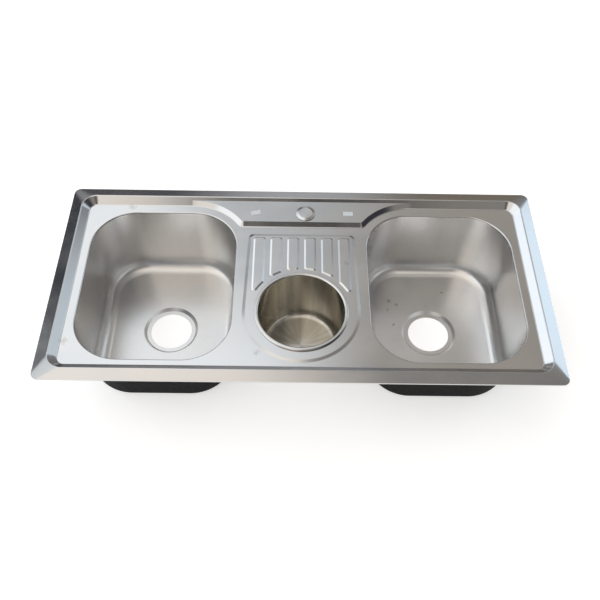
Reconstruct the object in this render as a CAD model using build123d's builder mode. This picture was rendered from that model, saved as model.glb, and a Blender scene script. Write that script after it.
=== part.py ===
from build123d import *
import math
import os

os.makedirs("parts", exist_ok=True)

# A pressed stainless drop-in kitchen sink: two deep bowls with a lift-out waste bin
# between them. X runs along the sink, Y towards the tap ledge at the back, Z is up.
# The origin is on the bench under the middle of the sink, which stands on its drain seats.

# Pressed top, in millimetres
width = 1000.0
depth = 480.0
sheet = 1.0
corner_radius = 14.0
edge_fold = 3.0
border_width = 23.5
border_rise = 5.5
recess_depth = 14.5
recess_radius = 16.0
bend_radius = 3.0
crest_radius = 2.5
collar_height = 5.0
opening_bend = 2.5

# Tap ledge at the back, between the two bowls
ledge_drop = 6.0
ledge_depth = 96.0
ledge_side_margin = 15.0
ledge_sweep_radius = 127.0
ledge_corner_radius = 14.0
tap_hole_diameter = 35.0
tap_x = 8.0
tap_inset = 64.0

# Bowls
bowl_side_margin = 18.0
bowl_front_margin = 13.5
bowl_back_margin = 21.5
bowl_corner_radius = 93.0
bowl_depth = 186.0
bowl_side_draw = 5.0
bowl_front_draw = 24.5
bowl_back_draw = 0.5
bowl_floor_radius = 26.0

# Drains, each a sunken seat round a hole for a basket strainer
drain_diameter = 90.0
seat_flat = 9.0
seat_drop = 6.0
seat_slope = 6.0
drain_setback = 3.0
drain_offset = 2.5

# Sound-deadening coat on the outside of the bowls
coat = 2.5
coat_below_deck = 47.0
coat_drain_margin = 8.0

# Raised panel with its drainer ribs, and the bin that hangs in it
panel_bin_margin = 24.0
panel_taper = 5.0
panel_side_margin = 20.0
panel_front_margin = 9.0
panel_back_margin = 20.0
panel_corner_radius = 12.0
panel_rise = 1.6
panel_slope = 6.0
rib_count = 6
rib_pitch = 35.6
rib_width = 25.0
rib_rise = 2.2
rib_slope = 3.5
rib_back_gap = 10.0
rib_bin_gap = 9.5
rib_corner_radius = 6.0
bin_mouth_diameter = 172.0
bin_flange_width = 8.0
bin_depth = 133.0
bin_sheet = 0.8
bin_draft = 5.0
bin_mouth_bend = 2.5
bin_floor_radius = 14.0
bead_radius = 2.0
bin_clearance = 1.5
rest_gap = 0.3

# Blanking set in the tap hole
cover_diameter = 41.5
cover_thickness = 2.4
cover_bevel = 6.5
cover_bevel_drop = 1.8
gasket_diameter = 40.0
gasket_thickness = 0.8
stud_diameter = 6.0
stud_length = 32.0
clamp_length = 52.0
clamp_width = 16.0
clamp_thickness = 2.0
nut_hub_diameter = 12.0
nut_hub_height = 7.0
wing_span = 32.0
wing_height = 10.0
wing_thickness = 2.5
running_clearance = 0.05

# Hold-down clips under the rim
worktop_thickness = 38.0
clip_slack = 3.0
clip_x = 300.0
clip_inset = 6.0
plate_length = 26.0
plate_width = 9.0
plate_thickness = 1.5
boss_diameter = 10.0
boss_height = 12.0
screw_diameter = 5.0
screw_head_diameter = 10.0
screw_head_height = 3.5
screw_engagement = 5.0
arm_length = 34.0
arm_width = 15.0
arm_thickness = 2.0
tooth_height = 5.0

# Rim seal and the two blank labels
seal_width = 9.0
seal_inset = 0.5
label_thickness = 0.2
label_length = 21.0
label_breadth = 11.0
label_x = 100.0
label_inset = 62.5
label_turn = 14.0

# Level slack for picking faces and edges, and how far a cut runs past the metal
pick = 0.01
over_cut = 1.0

# Places and levels that follow from the sizes
foot_inset = border_width + recess_depth
bin_flange_radius = bin_mouth_diameter / 2 + bin_flange_width
bin_hole_radius = bin_mouth_diameter / 2 + bin_sheet + bin_clearance
panel_radius = bin_flange_radius + panel_bin_margin
panel_half_width = panel_radius - panel_taper
bin_y = panel_radius + panel_front_margin + foot_inset - depth / 2
centre_half = panel_radius + panel_side_margin
bowl_length = width / 2 - foot_inset - bowl_side_margin - centre_half
bowl_breadth = depth - 2 * foot_inset - bowl_front_margin - bowl_back_margin
bowl_x = centre_half + bowl_length / 2
bowl_y = (bowl_front_margin - bowl_back_margin) / 2
drain_x = bowl_x - drain_offset
drain_y = bowl_y + drain_setback
seat_diameter = drain_diameter + 2 * seat_flat + 2 * seat_slope
ledge_front = depth / 2 - ledge_depth
ledge_half_width = panel_radius + ledge_side_margin
panel_back = ledge_front - panel_back_margin
tap_y = depth / 2 - tap_inset
label_y = depth / 2 - label_inset
deck_z = bowl_depth + seat_drop + sheet
ridge_z = deck_z + recess_depth
edge_z = ridge_z - border_rise
ledge_z = ridge_z - ledge_drop
collar_z = deck_z - collar_height
panel_z = deck_z + panel_rise
floor_z = deck_z - bowl_depth
worktop_z = edge_z - edge_fold


def foot_shift(run, rise, skin):
    """How far a sloping wall's foot steps back, so that the skin keeps its thickness."""
    angle = math.atan2(run, rise)
    return skin / math.cos(angle) - skin * math.tan(angle)


def deck_outline(skin):
    """Foot of the recess wall: a rounded rectangle, notched at the back by the tap ledge."""
    grow = foot_shift(1, 1, skin)
    sweep = ledge_sweep_radius - grow
    front = ledge_front + grow
    sweep_y = depth / 2 - foot_inset - ledge_sweep_radius
    sweep_x = ledge_half_width + math.sqrt(ledge_sweep_radius**2 - (ledge_front - sweep_y) ** 2)
    with BuildSketch(Plane.XY) as outline:
        RectangleRounded(
            width - 2 * foot_inset + 2 * grow,
            depth - 2 * foot_inset + 2 * grow,
            recess_radius + grow,
        )
        with BuildSketch(mode=Mode.SUBTRACT) as notch:
            with Locations((0, (front + depth / 2) / 2)):
                Rectangle(2 * sweep_x, depth / 2 - front)
            with Locations((-sweep_x, sweep_y), (sweep_x, sweep_y)):
                Circle(sweep + 2 * grow, mode=Mode.SUBTRACT)
            corners = notch.vertices().filter_by_position(Axis.Y, front - pick, front + pick)
            fillet(corners, ledge_corner_radius - grow)
    return outline.sketch


def panel_outline(inset):
    """The panel in plan: straight at the back, round where it follows the bin."""
    corner = panel_corner_radius - inset
    corner_x = panel_half_width - panel_corner_radius
    corner_y = panel_back - panel_corner_radius
    with BuildSketch(Plane.XY) as outline:
        with Locations((-corner_x, corner_y), (corner_x, corner_y)):
            Circle(corner)
        with Locations((0, bin_y)):
            Circle(panel_radius - inset)
        make_hull()
    return outline.sketch


def rib_outline(number, inset):
    """One rib in plan, cut short where it meets the bin."""
    across = (number - (rib_count - 1) / 2) * rib_pitch
    back = panel_back - rib_back_gap - inset
    reach = bin_flange_radius + rib_bin_gap + inset
    with BuildSketch(Plane.XY) as outline:
        with Locations((across, (back + bin_y) / 2)):
            Rectangle(rib_width - 2 * inset, back - bin_y)
        with Locations((0, bin_y)):
            Circle(reach, mode=Mode.SUBTRACT)
        fillet(outline.vertices(), rib_corner_radius - inset)
    return outline.sketch


def pressed_form(skin):
    """Everything below the top's upper face or, given a skin, below its lower face."""
    # The lower form runs on below the collars, so that no skin is left across their ends
    base_z = collar_z - 4 * skin
    grow = foot_shift(1, 1, skin)
    with BuildPart() as form:
        with BuildSketch(Plane.XY.offset(base_z)):
            RectangleRounded(width - 2 * skin, depth - 2 * skin, corner_radius - skin)
        extrude(amount=edge_z - skin - base_z)
        with BuildSketch(Plane.XY.offset(edge_z - skin)):
            RectangleRounded(width - 2 * skin, depth - 2 * skin, corner_radius - skin)
        with BuildSketch(Plane.XY.offset(ridge_z - skin)):
            RectangleRounded(
                width - 2 * border_width + 2 * grow,
                depth - 2 * border_width + 2 * grow,
                recess_radius + recess_depth + grow,
            )
        loft(ruled=True)

        # The recess above the ledge, and below it the sunken deck with the ledge left standing
        ledge_inset = foot_inset - (ledge_z - deck_z) - grow
        with BuildSketch(Plane.XY.offset(ledge_z - skin)):
            RectangleRounded(
                width - 2 * ledge_inset,
                depth - 2 * ledge_inset,
                recess_radius + ledge_z - deck_z + grow,
            )
        extrude(amount=ledge_drop + over_cut, taper=-45, mode=Mode.SUBTRACT)
        with BuildSketch(Plane.XY.offset(deck_z - skin)):
            add(deck_outline(skin))
        extrude(amount=ledge_z - deck_z, taper=-45, mode=Mode.SUBTRACT)

        floor = form.faces().filter_by_position(Axis.Z, deck_z - skin - pick, deck_z - skin + pick)
        fillet(floor.sort_by(SortBy.AREA)[-1].outer_wire().edges(), bend_radius + skin)
        crest = form.edges().filter_by_position(Axis.Z, ridge_z - skin - pick, ridge_z - skin + pick)
        fillet(crest, crest_radius - skin)

        # Bowl mouths, with the deck bent down into them
        with BuildSketch(Plane.XY.offset(deck_z)):
            with Locations((-bowl_x, bowl_y), (bowl_x, bowl_y)):
                RectangleRounded(
                    bowl_length + 2 * skin,
                    bowl_breadth + 2 * skin,
                    bowl_corner_radius + skin,
                )
        extrude(amount=base_z - deck_z, mode=Mode.SUBTRACT)
        floor = form.faces().filter_by_position(Axis.Z, deck_z - skin - pick, deck_z - skin + pick)
        for mouth in floor.sort_by(SortBy.AREA)[-1].inner_wires():
            fillet(mouth.edges(), opening_bend - skin)

        # Raised panel, ribs and bin hole
        inset = foot_shift(panel_slope, panel_rise, skin)
        with BuildSketch(Plane.XY.offset(deck_z - skin)):
            add(panel_outline(inset))
        with BuildSketch(Plane.XY.offset(panel_z - skin)):
            add(panel_outline(inset + panel_slope))
        loft(ruled=True)
        inset = foot_shift(rib_slope, rib_rise, skin)
        for number in range(rib_count):
            with BuildSketch(Plane.XY.offset(panel_z - skin)):
                add(rib_outline(number, inset))
            with BuildSketch(Plane.XY.offset(panel_z + rib_rise - skin)):
                add(rib_outline(number, inset + rib_slope))
            loft(ruled=True)
        with BuildSketch(Plane.XY.offset(panel_z)):
            with Locations((0, bin_y)):
                Circle(bin_hole_radius + skin)
        extrude(amount=base_z - panel_z, mode=Mode.SUBTRACT)
        rim = form.edges().filter_by(GeomType.CIRCLE)
        rim = rim.filter_by_position(Axis.Z, panel_z - skin - pick, panel_z - skin + pick)
        fillet(rim.sort_by(SortBy.LENGTH)[-1], opening_bend - skin)

        # Tap hole
        with BuildSketch(Plane.XY.offset(ledge_z)):
            with Locations((tap_x, tap_y)):
                Circle(tap_hole_diameter / 2)
        extrude(amount=base_z - ledge_z, mode=Mode.SUBTRACT)
    return form.part


def bowl_form(side, skin, seat):
    """The space inside one bowl, grown by a skin, with or without its sunken drain seat."""
    drain = (side * drain_x, drain_y)
    shift = (bowl_front_draw - bowl_back_draw) / 2
    with BuildPart() as form:
        with BuildSketch(Plane.XY.offset(collar_z)):
            with Locations((side * bowl_x, bowl_y)):
                RectangleRounded(
                    bowl_length + 2 * skin,
                    bowl_breadth + 2 * skin,
                    bowl_corner_radius + skin,
                )
        with BuildSketch(Plane.XY.offset(floor_z - skin)):
            with Locations((side * bowl_x, bowl_y + shift)):
                RectangleRounded(
                    bowl_length - 2 * bowl_side_draw + 2 * skin,
                    bowl_breadth - bowl_front_draw - bowl_back_draw + 2 * skin,
                    bowl_corner_radius - bowl_side_draw + skin,
                )
        loft(ruled=True)
        fillet(form.faces().sort_by(Axis.Z)[0].edges(), bowl_floor_radius + skin)
        if seat:
            with BuildSketch(Plane.XY.offset(floor_z - skin)):
                with Locations(drain):
                    Circle(seat_diameter / 2 + skin)
            with BuildSketch(Plane.XY.offset(floor_z - seat_drop - skin)):
                with Locations(drain):
                    Circle(seat_diameter / 2 - seat_slope + skin)
            loft(ruled=True)
    return form.part


def make_bowl(side):
    """A drawn bowl, seam-welded to the collar under its mouth, with the drain hole cut."""
    with BuildPart() as bowl:
        add(bowl_form(side, sheet, True))
        add(bowl_form(side, 0, True), mode=Mode.SUBTRACT)
        with BuildSketch(Plane.XY):
            with Locations((side * drain_x, drain_y)):
                Circle(drain_diameter / 2)
        extrude(amount=floor_z, mode=Mode.SUBTRACT)
    return bowl.part


def make_coat(side):
    """The black coat on a bowl's outside, kept clear of the weld and of the drain seat."""
    with BuildPart() as layer:
        add(bowl_form(side, sheet + coat, False))
        add(bowl_form(side, sheet, False), mode=Mode.SUBTRACT)
        with BuildSketch(Plane.XY.offset(deck_z - coat_below_deck)):
            with Locations((side * bowl_x, bowl_y)):
                Rectangle(2 * bowl_length, 2 * bowl_breadth)
        extrude(amount=coat_below_deck, mode=Mode.SUBTRACT)
        with BuildSketch(Plane.XY):
            with Locations((side * drain_x, drain_y)):
                Circle(seat_diameter / 2 + coat_drain_margin)
        extrude(amount=floor_z, mode=Mode.SUBTRACT)
    return layer.part


# The top, pressed from one sheet: its upper form less its lower form, trimmed at the rim
under_top = pressed_form(sheet)
with BuildPart() as deck:
    add(pressed_form(0))
    add(under_top, mode=Mode.SUBTRACT)
    with BuildSketch(Plane.XY.offset(worktop_z)):
        Rectangle(width + sheet, depth + sheet)
        RectangleRounded(
            width - 2 * border_width,
            depth - 2 * border_width,
            corner_radius,
            mode=Mode.SUBTRACT,
        )
    extrude(amount=collar_z - worktop_z - sheet, mode=Mode.SUBTRACT)
deck.part.label = "deck"
export_step(deck.part, "parts/deck.step")

# Both bowls and their coats
for side, name in ((-1, "left"), (1, "right")):
    bowl_part = make_bowl(side)
    bowl_part.label = name + "_bowl"
    export_step(bowl_part, "parts/" + name + "_bowl.step")
    coat_part = make_coat(side)
    coat_part.label = name + "_undercoat"
    export_step(coat_part, "parts/" + name + "_undercoat.step")

# Waste bin, spun from thin sheet with a rolled bead round its flange
bin_plane = Plane(origin=(0, bin_y, 0), x_dir=(1, 0, 0), z_dir=(0, -1, 0))
bin_axis = Axis((0, bin_y, 0), (0, 0, 1))
flange_z = panel_z + rest_gap + 2 * bead_radius - bin_sheet
bin_floor_z = flange_z + bin_sheet - bin_depth
bin_wall_foot = bin_mouth_diameter / 2 - bin_draft
bead_x = bin_flange_radius - bead_radius
with BuildPart() as waste_bin:
    with BuildSketch(bin_plane) as bin_section:
        with BuildLine():
            FilletPolyline(
                (0, bin_floor_z),
                (bin_wall_foot, bin_floor_z),
                (bin_mouth_diameter / 2, flange_z + bin_sheet),
                (bead_x, flange_z + bin_sheet),
                radius=[bin_floor_radius, bin_mouth_bend + bin_sheet],
            )
            Line((bead_x, flange_z + bin_sheet), (bead_x, flange_z))
            FilletPolyline(
                (bead_x, flange_z),
                (bin_mouth_diameter / 2 + bin_sheet, flange_z),
                (bin_wall_foot + bin_sheet, bin_floor_z - bin_sheet),
                (0, bin_floor_z - bin_sheet),
                radius=[bin_mouth_bend, bin_floor_radius + bin_sheet],
            )
            Line((0, bin_floor_z - bin_sheet), (0, bin_floor_z))
        make_face()
        with Locations((bead_x, flange_z + bin_sheet - bead_radius)):
            Circle(bead_radius)
    revolve(axis=bin_axis)
waste_bin.part.label = "waste_bin"
export_step(waste_bin.part, "parts/waste_bin.step")

# Blanking cover over the tap hole: turned cap, gasket, stud, clamp bar and wing nut
cap_z = ledge_z + gasket_thickness
clamp_z = ledge_z - sheet - clamp_thickness
with BuildPart() as tap_hole_cover:
    with BuildSketch(Plane((tap_x, tap_y, cap_z))):
        Circle(cover_diameter / 2)
    extrude(amount=cover_thickness)
    chamfer(tap_hole_cover.edges().sort_by(Axis.Z)[-1], cover_bevel_drop, cover_bevel)
tap_hole_cover.part.label = "tap_hole_cover"
export_step(tap_hole_cover.part, "parts/tap_hole_cover.step")

with BuildPart() as cover_gasket:
    with BuildSketch(Plane((tap_x, tap_y, ledge_z))):
        Circle(gasket_diameter / 2)
        Circle(stud_diameter / 2, mode=Mode.SUBTRACT)
    extrude(amount=gasket_thickness)
cover_gasket.part.label = "cover_gasket"
export_step(cover_gasket.part, "parts/cover_gasket.step")

with BuildPart() as cover_stud:
    with BuildSketch(Plane((tap_x, tap_y, cap_z))):
        Circle(stud_diameter / 2)
    extrude(amount=-stud_length)
    chamfer(cover_stud.edges().sort_by(Axis.Z)[0], stud_diameter / 8)
cover_stud.part.label = "cover_stud"
export_step(cover_stud.part, "parts/cover_stud.step")

with BuildPart() as cover_clamp:
    with BuildSketch(Plane((tap_x, tap_y, clamp_z))):
        RectangleRounded(clamp_length, clamp_width, clamp_width / 4)
        Circle(stud_diameter / 2 + running_clearance, mode=Mode.SUBTRACT)
    extrude(amount=clamp_thickness)
cover_clamp.part.label = "cover_clamp"
export_step(cover_clamp.part, "parts/cover_clamp.step")

with BuildPart() as wing_nut:
    with BuildSketch(Plane((tap_x, tap_y, clamp_z - rest_gap))):
        Circle(nut_hub_diameter / 2)
    extrude(amount=-nut_hub_height)
    wing_plane = Plane(origin=(tap_x, tap_y, clamp_z - rest_gap), x_dir=(1, 0, 0), z_dir=(0, -1, 0))
    with BuildSketch(wing_plane):
        for wing_side in (-1, 1):
            wing_x = wing_side * (wing_span - wing_height) / 2
            with Locations((wing_x, -nut_hub_height)):
                Circle(wing_height / 2)
            with Locations((wing_x / 2, -nut_hub_height)):
                Rectangle(abs(wing_x), wing_height / 2)
    extrude(amount=wing_thickness / 2, both=True)
    with BuildSketch(Plane((tap_x, tap_y, clamp_z))):
        Circle(stud_diameter / 2 + running_clearance)
    extrude(amount=-2 * nut_hub_height - wing_height, mode=Mode.SUBTRACT)
wing_nut.part.label = "wing_nut"
export_step(wing_nut.part, "parts/wing_nut.step")

# Foam seal stuck in the hollow of the rim
with BuildPart() as rim_seal:
    with BuildSketch(Plane.XY.offset(worktop_z)):
        outer_inset = sheet + seal_inset
        RectangleRounded(
            width - 2 * outer_inset,
            depth - 2 * outer_inset,
            corner_radius - outer_inset,
        )
        inner_inset = outer_inset + seal_width
        RectangleRounded(
            width - 2 * inner_inset,
            depth - 2 * inner_inset,
            corner_radius - outer_inset,
            mode=Mode.SUBTRACT,
        )
    extrude(amount=recess_depth)
    add(under_top, mode=Mode.INTERSECT)
rim_seal.part.label = "rim_seal"
export_step(rim_seal.part, "parts/rim_seal.step")

# Hold-down clips: a welded plate with a threaded boss, a screw, and an arm that swings out
clip_y = depth / 2 - foot_inset - clip_inset
clip_side_x = width / 2 - foot_inset - clip_inset
stations = {
    "front_left": (-clip_x, -clip_y, 0),
    "front_right": (clip_x, -clip_y, 0),
    "right_side": (clip_side_x, 0, 90),
    "back_right": (clip_x, clip_y, 180),
    "back_left": (-clip_x, clip_y, 180),
    "left_side": (-clip_side_x, 0, 270),
}
plate_z = deck_z - sheet - plate_thickness
boss_z = plate_z - boss_height
arm_z = worktop_z - worktop_thickness - clip_slack - tooth_height - arm_thickness
head_z = arm_z - rest_gap
with BuildPart() as clip_brackets:
    for x, y, turn in stations.values():
        along_rim = Plane(origin=(x, y, plate_z)).rotated((0, 0, turn))
        with BuildSketch(along_rim):
            Rectangle(plate_length, plate_width)
        extrude(amount=plate_thickness)
        with BuildSketch(along_rim):
            Circle(boss_diameter / 2)
        extrude(amount=-boss_height)
        with BuildSketch(along_rim.offset(plate_thickness)):
            Circle(screw_diameter / 2 + running_clearance)
        extrude(amount=-plate_thickness - boss_height, mode=Mode.SUBTRACT)
clip_brackets.part.label = "clip_brackets"
export_step(clip_brackets.part, "parts/clip_brackets.step")

for station, (x, y, turn) in stations.items():
    with BuildPart() as clip_screw:
        with BuildSketch(Plane((x, y, head_z))):
            Circle(screw_diameter / 2)
        extrude(amount=boss_z + screw_engagement - head_z)
        with BuildSketch(Plane((x, y, head_z))):
            Circle(screw_head_diameter / 2)
        extrude(amount=-screw_head_height)
        with BuildSketch(Plane((x, y, head_z - screw_head_height)).rotated((0, 0, turn))):
            Rectangle(screw_head_diameter, screw_head_height / 3)
        extrude(amount=screw_head_height / 3, mode=Mode.SUBTRACT)
    clip_screw.part.label = station + "_screw"
    export_step(clip_screw.part, "parts/" + station + "_screw.step")

    with BuildPart() as clip_arm:
        arm_plane = Plane(origin=(x, y, arm_z)).rotated((0, 0, turn))
        with BuildSketch(arm_plane):
            Circle(arm_width / 2)
            with Locations((arm_length / 2, 0)):
                Rectangle(arm_length, arm_width)
            Circle(screw_diameter / 2 + running_clearance, mode=Mode.SUBTRACT)
        extrude(amount=arm_thickness)
        with BuildSketch(arm_plane.offset(arm_thickness)):
            with Locations((arm_length - arm_thickness / 2, 0)):
                Rectangle(arm_thickness, arm_width)
        extrude(amount=tooth_height)
    clip_arm.part.label = station + "_clip"
    export_step(clip_arm.part, "parts/" + station + "_clip.step")

# Two blank paper labels on the ledge
for label_side, name, turn in ((-1, "left_label", label_turn), (1, "right_label", 0)):
    with BuildPart() as label:
        with BuildSketch(Plane(origin=(label_side * label_x, label_y, ledge_z)).rotated((0, 0, turn))):
            RectangleRounded(label_length, label_breadth, label_breadth / 10)
        extrude(amount=label_thickness)
    label.part.label = name
    export_step(label.part, "parts/" + name + ".step")
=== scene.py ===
import math

import bpy
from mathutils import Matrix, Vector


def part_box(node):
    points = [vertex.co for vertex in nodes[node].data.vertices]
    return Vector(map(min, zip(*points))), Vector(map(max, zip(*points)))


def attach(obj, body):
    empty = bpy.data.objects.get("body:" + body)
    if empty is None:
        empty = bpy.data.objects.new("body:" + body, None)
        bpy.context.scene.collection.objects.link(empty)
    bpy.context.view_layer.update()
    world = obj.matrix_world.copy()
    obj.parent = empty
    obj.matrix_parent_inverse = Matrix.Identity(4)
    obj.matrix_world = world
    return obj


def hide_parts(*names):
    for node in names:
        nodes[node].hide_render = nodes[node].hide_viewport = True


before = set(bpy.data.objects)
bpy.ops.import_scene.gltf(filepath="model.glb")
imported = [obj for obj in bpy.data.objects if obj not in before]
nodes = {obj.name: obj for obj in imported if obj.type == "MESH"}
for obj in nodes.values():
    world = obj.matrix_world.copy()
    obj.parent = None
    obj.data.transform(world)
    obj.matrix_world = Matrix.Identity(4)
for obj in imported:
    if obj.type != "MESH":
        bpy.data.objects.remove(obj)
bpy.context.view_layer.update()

# The studio: a plain white floor, and a camera that looks steeply down on the sink from
# over its front edge, held with a slight tilt. The view is shown without film toning.
bpy.ops.object.select_all(action="DESELECT")
bpy.ops.mesh.primitive_plane_add(size=30.0, location=(0, 0, 0))
floor = bpy.context.object
floor.name = "studio_floor"
floor_paint = bpy.data.materials.new("studio_floor_paint")
floor_paint.use_nodes = True
floor_shader = floor_paint.node_tree.nodes["Principled BSDF"]
floor_shader.inputs["Base Color"].default_value = (0.90, 0.90, 0.90, 1)
floor_shader.inputs["Roughness"].default_value = 0.9
floor_shader.inputs["Specular IOR Level"].default_value = 0.1
floor_shader.inputs["Emission Color"].default_value = (1, 1, 1, 1)
floor_shader.inputs["Emission Strength"].default_value = 0.55
floor.data.materials.append(floor_paint)

bpy.ops.object.camera_add(location=(-0.018, -0.9095, 1.4072))
camera = bpy.context.object
camera.name = "studio_camera"
camera.rotation_euler = [math.radians(turn) for turn in (35.369, -0.8946, 0.2558)]
camera.data.lens = 44.6
camera.data.sensor_width = 36.0
camera.data.clip_end = 60.0
bpy.context.scene.camera = camera
bpy.context.scene.view_settings.view_transform = "Standard"

# The light of the room, as soft patches of sky colour: the windows, the pale ceiling, the
# dark furniture between them. The steel shows them all, so each has its place.
sky = bpy.data.worlds.new("studio_sky")
bpy.context.scene.world = sky
sky.use_nodes = True
sky_nodes = sky.node_tree.nodes
sky_links = sky.node_tree.links
backdrop = sky_nodes["Background"]
toward_sky = sky_nodes.new("ShaderNodeTexCoord").outputs["Generated"]
sky_so_far = (0.24, 0.24, 0.25)
# compass bearing from the back (to the right), height above the horizon, half width
# of the patch and width of its soft edge, in degrees; then its colour
patches = [
    (-95, 22, 26, 22, (1.35, 1.38, 1.40)),
    (-90, 76, 18, 14, (1.22, 1.16, 1.08)),
    (180, 76, 10, 14, (1.05, 0.98, 0.90)),
    (-158, 42, 14, 12, (1.10, 1.03, 0.95)),
    (155, 42, 12, 12, (0.30, 0.28, 0.26)),
    (108, 12, 24, 16, (0.04, 0.04, 0.05)),
    (-42, 55, 9, 12, (0.82, 0.85, 0.88)),
    (-14, 55, 14, 12, (1.24, 1.28, 1.32)),
    (3, 46, 6, 8, (0.60, 0.62, 0.64)),
    (60, 62, 20, 10, (0.27, 0.26, 0.25)),
    (29, 50, 10, 9, (0.42, 0.39, 0.35)),
    (64, 16, 8, 8, (0.75, 0.84, 0.92)),
    (49, 32, 7, 6, (1.12, 1.32, 1.50)),
    (-56, 17, 10, 8, (1.40, 1.50, 1.60)),
    (-45, 34, 5, 9, (0.03, 0.03, 0.04)),
    (0, 20, 5, 7, (0.50, 0.51, 0.53)),
    (-17, 18, 7, 7, (0.08, 0.08, 0.09)),
    (18, 18, 7, 7, (0.22, 0.19, 0.15)),
    (180, 40, 5, 7, (0.05, 0.05, 0.05)),
]
for bearing, height, inner, edge, colour in patches:
    bearing = math.radians(bearing)
    height = math.radians(height)
    aim = sky_nodes.new("ShaderNodeVectorMath")
    aim.operation = "DOT_PRODUCT"
    aim.inputs[1].default_value = (
        math.sin(bearing) * math.cos(height),
        math.cos(bearing) * math.cos(height),
        math.sin(height),
    )
    sky_links.new(toward_sky, aim.inputs[0])
    fade = sky_nodes.new("ShaderNodeMapRange")
    fade.interpolation_type = "SMOOTHSTEP"
    fade.inputs["From Min"].default_value = math.cos(math.radians(inner + edge))
    fade.inputs["From Max"].default_value = math.cos(math.radians(inner))
    sky_links.new(aim.outputs["Value"], fade.inputs["Value"])
    patch = sky_nodes.new("ShaderNodeMix")
    patch.data_type = "RGBA"
    patch_in = [socket for socket in patch.inputs if socket.type == "RGBA"]
    patch_out = [socket for socket in patch.outputs if socket.type == "RGBA"][0]
    if isinstance(sky_so_far, tuple):
        patch_in[0].default_value = (*sky_so_far, 1)
    else:
        sky_links.new(sky_so_far, patch_in[0])
    patch_in[1].default_value = (*colour, 1)
    sky_links.new(fade.outputs["Result"], patch.inputs["Factor"])
    sky_so_far = patch_out
sky_links.new(sky_so_far, backdrop.inputs["Color"])

# The top: one sheet of satin stainless, pressed, then brushed along its length. It keeps a
# trace of the protective film, a few dull smears of its glue, and fine handling marks.


def new_material(name, colour, roughness, metallic=0.0):
    """A material with the constants set on the shader, and a helper to add nodes to it."""
    material = bpy.data.materials.new(name)
    material.use_nodes = True
    tree = material.node_tree
    shader = tree.nodes["Principled BSDF"]
    shader.inputs["Base Color"].default_value = (*colour, 1)
    shader.inputs["Roughness"].default_value = roughness
    shader.inputs["Metallic"].default_value = metallic

    def add(kind, **settings):
        node = tree.nodes.new("ShaderNode" + kind)
        for key, value in settings.items():
            if hasattr(node, key):
                setattr(node, key, value)
            else:
                node.inputs[key.replace("_", " ")].default_value = value
        return node

    return material, shader, add, tree.links.new


def grain(add, link, source, stretch, detail=3.0):
    """Noise drawn out along one way, as brushing leaves it."""
    mapping = add("Mapping")
    mapping.inputs["Scale"].default_value = stretch
    link(source, mapping.inputs["Vector"])
    noise = add("TexNoise", Scale=1.0, Detail=detail, Roughness=0.6)
    link(mapping.outputs["Vector"], noise.inputs["Vector"])
    return noise.outputs["Fac"]


def ramp(add, link, source, low, high, to_low, to_high):
    """Turns a range of one value into a range of another."""
    node = add("MapRange")
    node.inputs["From Min"].default_value = low
    node.inputs["From Max"].default_value = high
    node.inputs["To Min"].default_value = to_low
    node.inputs["To Max"].default_value = to_high
    link(source, node.inputs["Value"])
    return node.outputs["Result"]


def tint(add, link, amount, first, second):
    """Mixes two colours, or a colour socket and a colour, by an amount."""
    node = add("Mix", data_type="RGBA")
    colours = [socket for socket in node.inputs if socket.type == "RGBA"]
    for socket, colour in zip(colours, (first, second)):
        if isinstance(colour, tuple):
            socket.default_value = (*colour, 1)
        else:
            link(colour, socket)
    link(amount, node.inputs["Factor"])
    return [socket for socket in node.outputs if socket.type == "RGBA"][0]


def bump(add, link, shader, height, depth, distance):
    node = add("Bump", Strength=depth, Distance=distance)
    link(height, node.inputs["Height"])
    link(node.outputs["Normal"], shader.inputs["Normal"])


def smear(add, link, source, centre, radius, ragged=0.5):
    """A blot with a ragged edge round a place on the piece: 1 inside and 0 away from it."""
    shift = add("Mapping", vector_type="POINT")
    shift.inputs["Location"].default_value = [-value for value in centre]
    link(source, shift.inputs["Vector"])
    edge_noise = add("TexNoise", Scale=140.0, Detail=4.0)
    link(source, edge_noise.inputs["Vector"])
    distance = add("VectorMath", operation="LENGTH")
    link(shift.outputs["Vector"], distance.inputs[0])
    wobble = add("Math", operation="MULTIPLY_ADD")
    link(edge_noise.outputs["Fac"], wobble.inputs[0])
    wobble.inputs[1].default_value = -2.4 * radius * ragged
    link(distance.outputs["Value"], wobble.inputs[2])
    return ramp(add, link, wobble.outputs["Value"], -0.2 * radius, -0.9 * radius, 0.0, 1.0)


top_steel, shader, add, link = new_material("brushed_top_steel", (0.66, 0.66, 0.66), 0.17, 1.0)
place = add("TexCoord").outputs["Object"]
brush = grain(add, link, place, (14, 900, 900), 4.0)
haze = grain(add, link, place, (9, 14, 14), 3.0)
link(ramp(add, link, haze, 0.35, 0.7, 0.15, 0.20), shader.inputs["Roughness"])
colour = tint(add, link, ramp(add, link, haze, 0.3, 0.7, 0.0, 1.0), (0.63, 0.635, 0.64), (0.68, 0.67, 0.66))
for centre, radius in (
    ((-0.370, 0.196, 0.193), 0.022),
    ((-0.456, -0.150, 0.193), 0.024),
    ((-0.084, -0.172, 0.193), 0.018),
    ((0.093, 0.043, 0.197), 0.015),
):
    colour = tint(add, link, smear(add, link, place, centre, radius), colour, (0.40, 0.37, 0.33))
link(colour, shader.inputs["Base Color"])
bump(add, link, shader, brush, 0.03, 0.0004)


def dress(names, material):
    """Gives carried-over metal its finish."""
    for name in names:
        nodes[name].data.materials.clear()
        nodes[name].data.materials.append(material)


dress(["deck"], top_steel)

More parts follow.
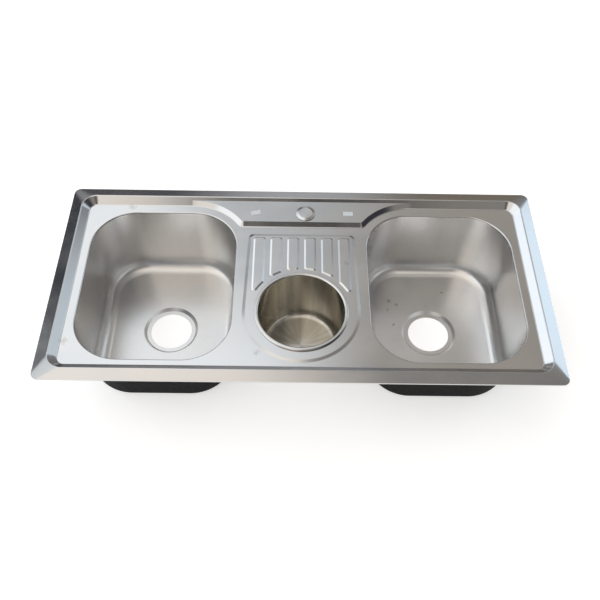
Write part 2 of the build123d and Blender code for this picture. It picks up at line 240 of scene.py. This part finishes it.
# The bowls: deep drawn from thicker sheet and seam welded under the top. Drawing leaves
# faint upright streaks on the walls, and the satin polish a soft cloud on the floor.
bowl_steel, shader, add, link = new_material("bowl_steel", (0.76, 0.75, 0.74), 0.30, 1.0)
place = add("TexCoord").outputs["Object"]
streak = grain(add, link, place, (160, 160, 5), 3.0)
haze = grain(add, link, place, (11, 11, 11), 3.0)
link(ramp(add, link, haze, 0.35, 0.7, 0.28, 0.33), shader.inputs["Roughness"])
cloud_amount = ramp(add, link, haze, 0.35, 0.65, 0.0, 1.0)
clouded = tint(add, link, cloud_amount, (0.73, 0.73, 0.73), (0.79, 0.78, 0.765))
streaked = ramp(add, link, streak, 0.3, 0.75, 0.0, 0.16)
colour = tint(add, link, streaked, clouded, (0.60, 0.59, 0.57))
for centre, radius in (
    ((0.205, 0.085, 0.007), 0.010),
    ((0.200, 0.060, 0.007), 0.008),
    ((0.222, 0.075, 0.007), 0.008),
    ((0.212, 0.020, 0.007), 0.007),
    ((0.330, 0.110, 0.007), 0.006),
):
    colour = tint(add, link, smear(add, link, place, centre, radius, 0.7), colour, (0.42, 0.41, 0.39))
link(colour, shader.inputs["Base Color"])
dress(["left_bowl", "right_bowl"], bowl_steel)

# The sound-deadening coat: black bitumen paint sprayed on the outside of the bowls, which
# dries to a dull pebbled skin.
coat_paint, shader, add, link = new_material("sound_coat", (0.004, 0.004, 0.004), 0.7)
shader.inputs["Specular IOR Level"].default_value = 0.12
place = add("TexCoord").outputs["Object"]
pebble = add("TexNoise", Scale=420.0, Detail=3.0)
link(place, pebble.inputs["Vector"])
bump(add, link, shader, pebble.outputs["Fac"], 0.6, 0.0012)
link(ramp(add, link, pebble.outputs["Fac"], 0.3, 0.7, 0.55, 0.85), shader.inputs["Roughness"])
dress(["left_undercoat", "right_undercoat"], coat_paint)

# The waste bin: spun from thin sheet on a lathe, with a bead rolled round its flange. The
# tool leaves rings all over it, so its shine runs up the wall and out from the middle.
bin_steel, shader, add, link = new_material("bin_steel", (0.50, 0.475, 0.42), 0.3, 1.0)
place = add("TexCoord").outputs["Object"]
centred = add("Mapping")
bin_low, bin_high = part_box("waste_bin")
bin_middle = (bin_low + bin_high) / 2
centred.inputs["Location"].default_value = (-bin_middle.x, -bin_middle.y, 0)
link(place, centred.inputs["Vector"])
around = add("TexGradient", gradient_type="RADIAL")
link(centred.outputs["Vector"], around.inputs["Vector"])
# Painted highlights: the wall's colour goes lighter and darker round the bin, standing in for the bright
# streaks of its shine
painted_streak_noise = add("TexNoise", noise_dimensions="1D", Scale=30.0, Detail=1.0)
link(around.outputs["Fac"], painted_streak_noise.inputs["W"])
level = add("SeparateXYZ")
link(place, level.inputs["Vector"])
# The flange is painted lighter than the inside of the bin, whose darker brown colour is painted shade with
# the painted highlight streaks over it
flange_level = bin_high.z - 0.006
flange_above_painted_shade = ramp(add, link, level.outputs["Z"], flange_level, flange_level + 0.003, 0.0, 1.0)
painted_streak_amount = ramp(add, link, painted_streak_noise.outputs["Fac"], 0.3, 0.7, 0.0, 1.0)
inside = tint(add, link, painted_streak_amount, (0.50, 0.475, 0.42), (0.60, 0.575, 0.52))
link(tint(add, link, flange_above_painted_shade, inside, (0.70, 0.69, 0.67)), shader.inputs["Base Color"])
polish = ramp(add, link, level.outputs["Z"], bin_low.z + 0.02, flange_level, 0.24, 0.18)
link(polish, shader.inputs["Roughness"])
shader.inputs["Anisotropic"].default_value = 0.7
shader.inputs["Anisotropic Rotation"].default_value = 0.25
spin = add("Tangent", direction_type="RADIAL", axis="Z")
link(spin.outputs["Tangent"], shader.inputs["Tangent"])
dress(["waste_bin"], bin_steel)

# The tap hole cover: a turned and polished cap that hides the unused tap hole. The lathe
# leaves fine rings on its face.
cap_steel, shader, add, link = new_material("turned_cap_steel", (0.68, 0.68, 0.68), 0.2, 1.0)
place = add("TexCoord").outputs["Object"]
centred = add("Mapping")
cap_low, cap_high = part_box("tap_hole_cover")
cap_middle = (cap_low + cap_high) / 2
centred.inputs["Location"].default_value = (-cap_middle.x, -cap_middle.y, 0)
link(place, centred.inputs["Vector"])
rings = add("TexWave", wave_type="RINGS", rings_direction="Z", Scale=260.0, Distortion=0.4)
link(centred.outputs["Vector"], rings.inputs["Vector"])
link(ramp(add, link, rings.outputs["Fac"], 0.0, 1.0, 0.17, 0.25), shader.inputs["Roughness"])
shader.inputs["Anisotropic"].default_value = 0.5
shader.inputs["Anisotropic Rotation"].default_value = 0.25
spin = add("Tangent", direction_type="RADIAL", axis="Z")
link(spin.outputs["Tangent"], shader.inputs["Tangent"])
dress(["tap_hole_cover"], cap_steel)

# The blanking set under the cap: a rubber gasket, a threaded stud, a clamp bar across the
# hole and a wing nut. The metal is zinc plated, with the faint yellow and blue of passivate.
zinc, shader, add, link = new_material("zinc_plate", (0.70, 0.70, 0.66), 0.34, 1.0)
place = add("TexCoord").outputs["Object"]
cloud = add("TexNoise", Scale=90.0, Detail=4.0)
link(place, cloud.inputs["Vector"])
passivate = ramp(add, link, cloud.outputs["Fac"], 0.35, 0.65, 0.0, 1.0)
link(tint(add, link, passivate, (0.74, 0.71, 0.60), (0.64, 0.68, 0.72)), shader.inputs["Base Color"])
link(ramp(add, link, cloud.outputs["Fac"], 0.3, 0.7, 0.28, 0.44), shader.inputs["Roughness"])
bump(add, link, shader, cloud.outputs["Fac"], 0.05, 0.0005)


def finish_mesh(piece, name, material, body, slot, *replaced):
    """Names a finished piece, gives it its material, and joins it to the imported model."""
    piece.name = name
    piece.data.materials.clear()
    piece.data.materials.append(material)
    bpy.ops.object.select_all(action="DESELECT")
    piece.select_set(True)
    bpy.context.view_layer.objects.active = piece
    bpy.ops.object.transform_apply(location=True, rotation=True, scale=True)
    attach(piece, body)
    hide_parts(*replaced)


def eased(node, body, width):
    """A plated piece with the sharp edges of its plain shape worn round."""
    piece = bpy.data.objects.new(node + "_eased", nodes[node].data.copy())
    bpy.context.collection.objects.link(piece)
    bpy.ops.object.select_all(action="DESELECT")
    piece.select_set(True)
    bpy.context.view_layer.objects.active = piece
    bpy.ops.mesh.customdata_custom_splitnormals_clear()
    bpy.ops.object.mode_set(mode="EDIT")
    bpy.ops.mesh.select_all(action="SELECT")
    bpy.ops.mesh.remove_doubles(threshold=0.00001)
    bpy.ops.mesh.dissolve_limited(angle_limit=math.radians(2))
    bpy.ops.object.mode_set(mode="OBJECT")
    edge = piece.modifiers.new("edge", "BEVEL")
    edge.width = width
    edge.segments = 2
    edge.limit_method = "ANGLE"
    edge.angle_limit = math.radians(40)
    bpy.ops.object.modifier_apply(modifier="edge")
    bpy.ops.object.shade_smooth_by_angle(angle=math.radians(35))
    finish_mesh(piece, node + "_eased", zinc, body, "plated_steel", node)


def threaded(middle, low, high, radius, pitch):
    """A round rod with a rolled thread: a core and one ridge that winds up it."""
    ridge_size = 0.58 * pitch
    bpy.ops.object.select_all(action="DESELECT")
    bpy.ops.mesh.primitive_cylinder_add(
        vertices=20, radius=radius - 0.5 * pitch, depth=high - low, location=(0, 0, (low + high) / 2)
    )
    core = bpy.context.object
    bpy.ops.object.select_all(action="DESELECT")
    bpy.ops.mesh.primitive_circle_add(
        vertices=3, radius=ridge_size, location=(radius - ridge_size, 0, low),
        rotation=(math.radians(90), math.radians(90), 0),
    )
    ridge = bpy.context.object
    bpy.ops.object.transform_apply(location=True, rotation=True, scale=True)
    winding = ridge.modifiers.new("winding", "SCREW")
    winding.screw_offset = pitch
    winding.iterations = int((high - low) / pitch)
    winding.steps = 16
    winding.render_steps = 16
    winding.use_smooth_shade = False
    bpy.ops.object.modifier_apply(modifier="winding")
    bpy.ops.object.mode_set(mode="EDIT")
    bpy.ops.mesh.select_all(action="SELECT")
    bpy.ops.mesh.fill_holes(sides=3)
    bpy.ops.mesh.select_all(action="SELECT")
    bpy.ops.mesh.normals_make_consistent(inside=False)
    bpy.ops.object.mode_set(mode="OBJECT")
    core.select_set(True)
    bpy.context.view_layer.objects.active = core
    bpy.ops.object.join()
    rod = bpy.context.object
    rod.location = (middle.x, middle.y, (low + high) / 2)
    return rod


gasket_rubber, shader, add, link = new_material("gasket_rubber", (0.02, 0.02, 0.02), 0.6)
place = add("TexCoord").outputs["Object"]
skin = add("TexNoise", Scale=700.0, Detail=2.0)
link(place, skin.inputs["Vector"])
bump(add, link, shader, skin.outputs["Fac"], 0.2, 0.0003)
link(ramp(add, link, skin.outputs["Fac"], 0.3, 0.7, 0.5, 0.7), shader.inputs["Roughness"])
dress(["cover_gasket"], gasket_rubber)
pressed_edge = 0.0004
moulded_edge = 0.0005
eased("cover_clamp", "sink", pressed_edge)
eased("wing_nut", "nut", moulded_edge)
stud_pitch = 0.001
stud_low, stud_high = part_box("cover_stud")
stud_radius = (stud_high.x - stud_low.x) / 2
stud = threaded((stud_low + stud_high) / 2, stud_low.z, stud_high.z, stud_radius, stud_pitch)
finish_mesh(stud, "cover_stud_threaded", zinc, "sink", "plated_steel", "cover_stud")

# The hold-down clips under the rim: six plates welded to the top, each with a threaded boss,
# a slotted screw, and a pressed arm whose tooth bites into the worktop from below.
screw_pitch = 0.0008
shank_radius = 0.0025
head_height = 0.0035
head_edge = 0.0006
driver_slot = (0.012, 0.0012, 0.0026)
eased("clip_brackets", "sink", pressed_edge)
for station in ("front_left", "front_right", "right_side", "back_right", "back_left", "left_side"):
    eased(station + "_clip", station + "_clip", pressed_edge)
    screw_node = station + "_screw"
    screw_low, screw_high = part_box(screw_node)
    middle = (screw_low + screw_high) / 2
    head_top = screw_low.z + head_height
    shank = threaded(middle, head_top, screw_high.z, shank_radius, screw_pitch)
    bpy.ops.object.select_all(action="DESELECT")
    bpy.ops.mesh.primitive_cylinder_add(
        vertices=32,
        radius=(screw_high.x - screw_low.x) / 2,
        depth=head_height,
        location=(middle.x, middle.y, screw_low.z + head_height / 2),
    )
    head = bpy.context.object
    rim = head.modifiers.new("rim", "BEVEL")
    rim.width = head_edge
    rim.segments = 3
    rim.limit_method = "ANGLE"
    bpy.ops.object.modifier_apply(modifier="rim")
    bpy.ops.mesh.primitive_cube_add(size=1.0, location=(middle.x, middle.y, screw_low.z))
    slot_tool = bpy.context.object
    slot_tool.scale = driver_slot
    cut = head.modifiers.new("slot", "BOOLEAN")
    cut.operation = "DIFFERENCE"
    cut.object = slot_tool
    bpy.ops.object.select_all(action="DESELECT")
    head.select_set(True)
    bpy.context.view_layer.objects.active = head
    bpy.ops.object.modifier_apply(modifier="slot")
    bpy.data.objects.remove(slot_tool)
    shank.select_set(True)
    bpy.ops.object.join()
    bpy.ops.object.shade_smooth_by_angle(angle=math.radians(30))
    finish_mesh(head, screw_node + "_threaded", zinc, screw_node, "plated_steel", screw_node)

# The rim seal: a strip of closed-cell foam tape stuck in the hollow of the rim.
seal_foam, shader, add, link = new_material("seal_foam", (0.045, 0.045, 0.05), 0.9)
shader.inputs["Specular IOR Level"].default_value = 0.2
place = add("TexCoord").outputs["Object"]
cells = add("TexVoronoi", Scale=900.0)
link(place, cells.inputs["Vector"])
bump(add, link, shader, cells.outputs["Distance"], 0.5, 0.0006)
foam_colour = tint(add, link, cells.outputs["Distance"], (0.03, 0.03, 0.034), (0.07, 0.07, 0.075))
link(foam_colour, shader.inputs["Base Color"])
dress(["rim_seal"], seal_foam)

# The two blank labels on the ledge: coated paper, stuck down by hand, so that the left one
# is askew, and each has a corner that lifts a little.
paper, shader, add, link = new_material("label_paper", (0.80, 0.86, 0.92), 0.5)
place = add("TexCoord").outputs["Object"]
fibre = add("TexNoise", Scale=500.0, Detail=3.0)
link(place, fibre.inputs["Vector"])
paper_colour = tint(add, link, fibre.outputs["Fac"], (0.80, 0.86, 0.92), (0.88, 0.92, 0.95))
link(paper_colour, shader.inputs["Base Color"])
bump(add, link, shader, fibre.outputs["Fac"], 0.15, 0.0002)
label_length = 0.021
label_width = 0.011
corner_lift = 0.0011
# The lift starts where the two half sizes, each counted as 1, add up to this much
lift_start = 1.2
for name, turn, lifted_end in (("left_label", 14.0, 1), ("right_label", 0.0, -1)):
    label_low, label_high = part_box(name)
    middle = (label_low + label_high) / 2
    bpy.ops.object.select_all(action="DESELECT")
    bpy.ops.mesh.primitive_grid_add(x_subdivisions=14, y_subdivisions=8, size=1.0, location=(0, 0, 0))
    label = bpy.context.object
    label.scale = (label_length, label_width, 1)
    bpy.ops.object.transform_apply(location=False, rotation=False, scale=True)
    for vertex in label.data.vertices:
        toward_corner = lifted_end * vertex.co.x / (label_length / 2) + vertex.co.y / (label_width / 2)
        reach = max(0.0, toward_corner - lift_start) / (2 - lift_start)
        vertex.co.z = corner_lift * reach * reach
    label.rotation_euler = (0, 0, math.radians(turn))
    label.location = (middle.x, middle.y, label_high.z)
    thickness = label.modifiers.new("thickness", "SOLIDIFY")
    thickness.thickness = label_high.z - label_low.z
    bpy.ops.object.modifier_apply(modifier="thickness")
    bpy.ops.object.shade_smooth_by_angle(angle=math.radians(40))
    finish_mesh(label, name + "_paper", paper, "sink", "label_paper", name)
